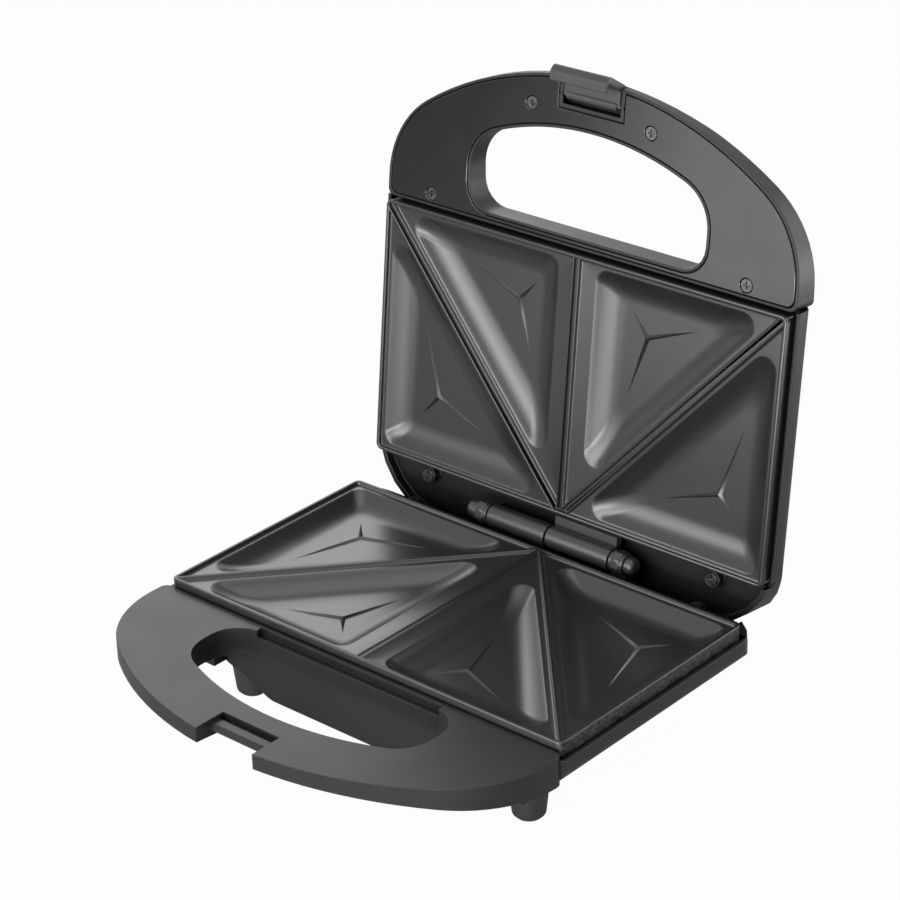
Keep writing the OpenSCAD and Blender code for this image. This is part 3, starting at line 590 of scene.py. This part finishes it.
def prism(bm, outline, x0, x1):
    """An outline of (y, z) points drawn out along x."""
    ends = [[bm.verts.new((x, y, z)) for y, z in outline] for x in (x0, x1)]
    loft(bm, ends)
    bm.faces.new(ends[0][::-1])
    bm.faces.new(ends[1])


def add_hinge_piece(name, body, outline, x0, x1, place=None):
    bm = bmesh.new()
    prism(bm, outline, x0, x1)
    if place is not None:
        bmesh.ops.transform(bm, matrix=place, verts=bm.verts)
    bmesh.ops.recalc_face_normals(bm, faces=bm.faces)
    mesh = bpy.data.meshes.new(name)
    bm.to_mesh(mesh)
    bm.free()
    smooth_by_angle(mesh, 30)
    mesh.materials.append(M["hinge"])
    piece = add_object(name, mesh)
    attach(piece, body)
    return piece


for name, body, (clip_low, clip_high) in (("base_clip_collar", "base", base_clip),
                                          ("lid_clip_collar", "lid", lid_clip)):
    collar = add_hinge_piece(name, body, ring(COLLAR_R, 8, COLLAR_TURN),
                             clip_low.x + 1.3 * MM, clip_high.x - 1.5 * MM)
    round_edges(collar, 0.5 * MM, 2, 30)

for name, body, x0, x1 in (
        ("base_barrel_sleeve", "base", lid_clip[1].x + SLEEVE_GAP, barrel_seam - SLEEVE_GAP),
        ("lid_barrel_sleeve", "lid", barrel_seam, lid_barrel_end - SLEEVE_GAP)):
    sleeve = add_hinge_piece(name, body, ring(SLEEVE_R, 48), x0, x1)
    round_edges(sleeve, 0.6 * MM, 3, 40)

# The lid's barrel hangs from a ledge under the plate's rear rim: (y, z) in the plates' frame
LEDGE_TOP = 6.5 * MM
LEDGE_FOOT = 2.6 * MM
ledge_back = AXLE.y - ORIGIN.y + 1 * MM
rim_y = HALF_D + 1.3 * MM
add_hinge_piece("lid_barrel_ledge", "lid",
                [(rim_y, 3.4 * MM), (rim_y, LEDGE_TOP), (ledge_back, LEDGE_TOP),
                 (ledge_back, LEDGE_FOOT), (rim_y + 0.6 * MM, LEDGE_FOOT)],
                barrel_seam, lid_barrel_end - 1.2 * MM, lid_place)

# ---------------------------------------------------------------- studio

# Shares of its own glow that the floor shows to the camera and to glossy and other seen rays
FLOOR_GLOW_CAMERA = 0.97
FLOOR_GLOW_GLOSSY = 0.06

floor_mesh = bpy.data.meshes.new("floor")
bm = bmesh.new()
bmesh.ops.create_grid(bm, x_segments=1, y_segments=1, size=6)
bm.to_mesh(floor_mesh)
bm.free()
floor = add_object("floor", floor_mesh)
floor.location = (0, 0, -0.2 * MM)

# A pale floor that keeps the shadow
f = Surface("pale_floor")
f.shader.inputs["Base Color"].default_value = (0.38, 0.38, 0.38, 1)
f.shader.inputs["Roughness"].default_value = 0.8
glow = f.new("ShaderNodeEmission")
glow.inputs["Color"].default_value = (1, 1, 1, 1)
glow.inputs["Strength"].default_value = 1.0
path = f.new("ShaderNodeLightPath")
camera_part = f.times(path, "Is Camera Ray", FLOOR_GLOW_CAMERA)
glossy_part = f.times(f.seen_rays(path), 0, FLOOR_GLOW_GLOSSY)
mix = f.new("ShaderNodeMixShader")
f.link(f.larger(camera_part, 0, glossy_part, 0), 0, mix, "Fac")
f.link(f.shader, 0, mix, 1)
f.link(glow, 0, mix, 2)
f.link(mix, 0, f.out, "Surface")
floor_mesh.materials.append(f.mat)

# A white room where it is seen, and a dim one where it only lights
world = bpy.data.worlds.new("studio")
bpy.context.scene.world = world
world.use_nodes = True
w = Nodes(world.node_tree)
world_out = w.new("ShaderNodeOutputWorld")
white = w.new("ShaderNodeBackground")
white.inputs["Color"].default_value = (1, 1, 1, 1)
white.inputs["Strength"].default_value = 1.0
soft = w.new("ShaderNodeBackground")
soft.inputs["Color"].default_value = (0.95, 0.93, 1.0, 1)
soft.inputs["Strength"].default_value = 0.16
choose = w.new("ShaderNodeMixShader")
w.link(w.seen_rays(w.new("ShaderNodeLightPath")), 0, choose, "Fac")
w.link(soft, 0, choose, 1)
w.link(white, 0, choose, 2)
w.link(choose, 0, world_out, "Surface")

COOL = (0.95, 0.94, 1.0)

# Name, place, aim, size (all in metres), watts and colour
for name, place, aim, size, power, colour in (
        ("top", (-0.1, 0.0, 1.3), (0, 0, 0.1), (1.0, 0.8), 3.0, (0.97, 0.96, 1.0)),
        ("front_high", (-0.15, -1.15, 0.62), (0, 0.05, 0.15), (1.2, 0.5), 14.0,
         (0.98, 0.955, 1.0)),
        ("front_low", (0.32, -0.66, 0.085), (0, 0.08, 0.2), (0.85, 0.13), 6.4,
         (1.0, 0.98, 1.0)),
        ("back_left", (-0.72, 0.46, 0.52), (-0.06, 0, 0.07), (0.75, 0.32), 2.2,
         (1.0, 0.985, 0.95)),
        ("back_right", (0.62, 0.78, 0.55), (0.05, 0.05, 0.15), (0.6, 0.6), 3.0, COOL),
        ("right_low", (0.44, 0.46, 0.11), (0.1, 0.1, 0.2), (0.45, 0.2), 1.3, COOL),
        ("front_card", (-0.26, -0.56, 0.12), (0.08, 0.1, 0.19), (0.32, 0.26), 0.9, (1, 1, 1))):
    lamp = bpy.data.lights.new(name, "AREA")
    lamp.shape = "RECTANGLE"
    lamp.size, lamp.size_y = size
    lamp.energy = power
    lamp.color = colour
    softbox = add_object(name, lamp)
    softbox.location = place
    way = Vector(aim) - Vector(place)
    softbox.rotation_euler = way.to_track_quat("-Z", "Y").to_euler()

# ---------------------------------------------------------------- camera

# The photograph's camera, solved from its perspective
AZIMUTH = math.radians(41.77)
ELEVATION = math.radians(26.27)
ROLL_ANGLE = math.radians(-1.72)
EYE = ORIGIN + Vector((719.5, -803.2, 603.6)) * MM
PHOTO_PX = 900
FOCAL_PX = 2899
SENSOR_MM = 36

back = Vector((math.sin(AZIMUTH) * math.cos(ELEVATION),
               -math.cos(AZIMUTH) * math.cos(ELEVATION), math.sin(ELEVATION)))
level = Vector((math.cos(AZIMUTH), math.sin(AZIMUTH), 0))
upright = back.cross(level)
right = level * math.cos(ROLL_ANGLE) + upright * math.sin(ROLL_ANGLE)
above = upright * math.cos(ROLL_ANGLE) - level * math.sin(ROLL_ANGLE)
camera_data = bpy.data.cameras.new("camera")
camera_data.sensor_width = SENSOR_MM
camera_data.lens = FOCAL_PX / PHOTO_PX * SENSOR_MM
camera_data.clip_start = 0.05
camera_data.clip_end = 30
camera = add_object("camera", camera_data)
camera.matrix_world = Matrix(((right.x, above.x, back.x, EYE.x),
                              (right.y, above.y, back.y, EYE.y),
                              (right.z, above.z, back.z, EYE.z), (0, 0, 0, 1)))
bpy.context.scene.camera = camera
bpy.context.scene.view_settings.view_transform = "Standard"
